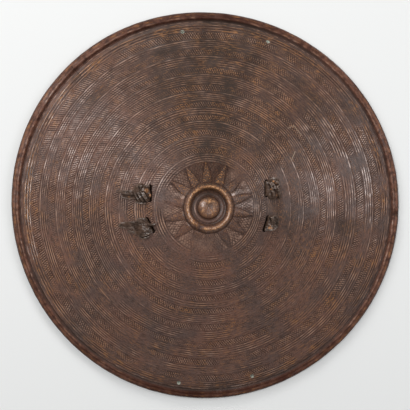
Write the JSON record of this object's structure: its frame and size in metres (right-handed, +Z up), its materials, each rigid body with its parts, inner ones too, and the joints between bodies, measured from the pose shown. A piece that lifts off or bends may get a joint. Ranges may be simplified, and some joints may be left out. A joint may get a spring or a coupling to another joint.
{
  "type": "hide shield",
  "caption": "Round conical shield of thick tooled hide with a rolled rim, a ringed boss and two strap ends knotted through slots to make a grip behind.",
  "frame": {"origin": "middle of the ground that the rim covers as the shield lies boss up", "axes": "+Z up through the boss, +Y towards the side worn uppermost, +X to the right as the front is seen"},
  "size_m": [0.6612, 0.6586, 0.1254],
  "materials": {
    "tooled_hide": "dark brown tooled hide, rubbed and slightly glossy on the high parts, red-brown rim",
    "dark_strap": "near-black greasy hide strap, rubbed tan where it is knotted"
  },
  "bodies": {
    "root": {"hide_shield": "tooled_hide", "upper_grip_strap": "dark_strap", "lower_grip_strap": "dark_strap"}
  },
  "joints": []
}
